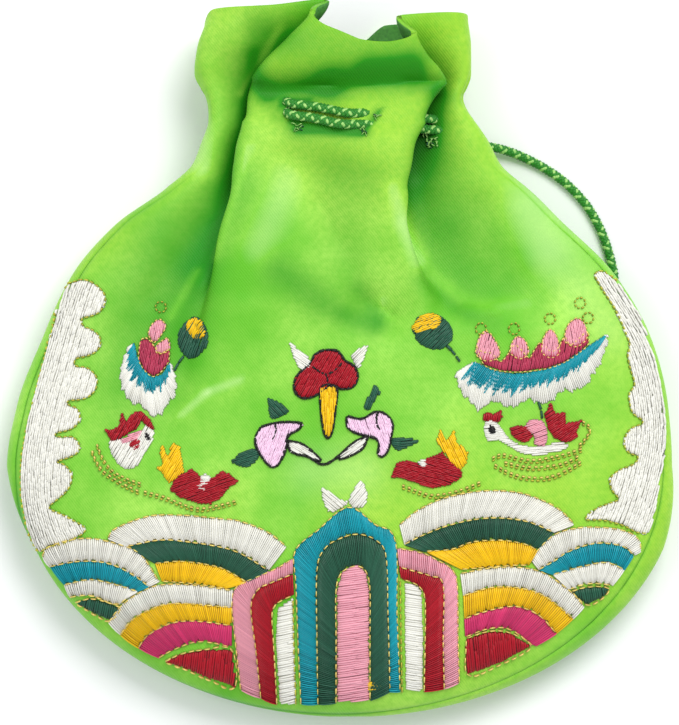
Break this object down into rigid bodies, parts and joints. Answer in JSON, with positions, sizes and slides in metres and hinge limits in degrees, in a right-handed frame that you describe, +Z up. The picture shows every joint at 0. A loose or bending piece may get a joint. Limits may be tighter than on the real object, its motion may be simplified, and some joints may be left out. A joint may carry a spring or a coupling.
{
  "type": "lucky pouch",
  "caption": "Round silk drawstring pouch lying on its back, with a gathered neck, a frilled open mouth and a braided cord loop.",
  "frame": {"origin": "on the floor under the middle of the pouch's outline, as it lies on its back", "axes": "+Y from the round bottom to the mouth, +X to the right as seen from the front, +Z up out of the embroidered front"},
  "size_m": [0.1331, 0.1429, 0.0247],
  "materials": {
    "satin": "lime green silk satin with a soft sheen, worked with raised embroidery",
    "braid": "round braided rayon cord in two greens",
    "embroidery": "glossy stranded silk in satin stitch, with couched gold thread along the outlines"
  },
  "bodies": {
    "root": {"front_panel": "satin", "back_panel": "satin", "neck_cord_upper": "braid", "neck_cord_lower": "braid", "cord_loop": "braid"}
  },
  "joints": []
}
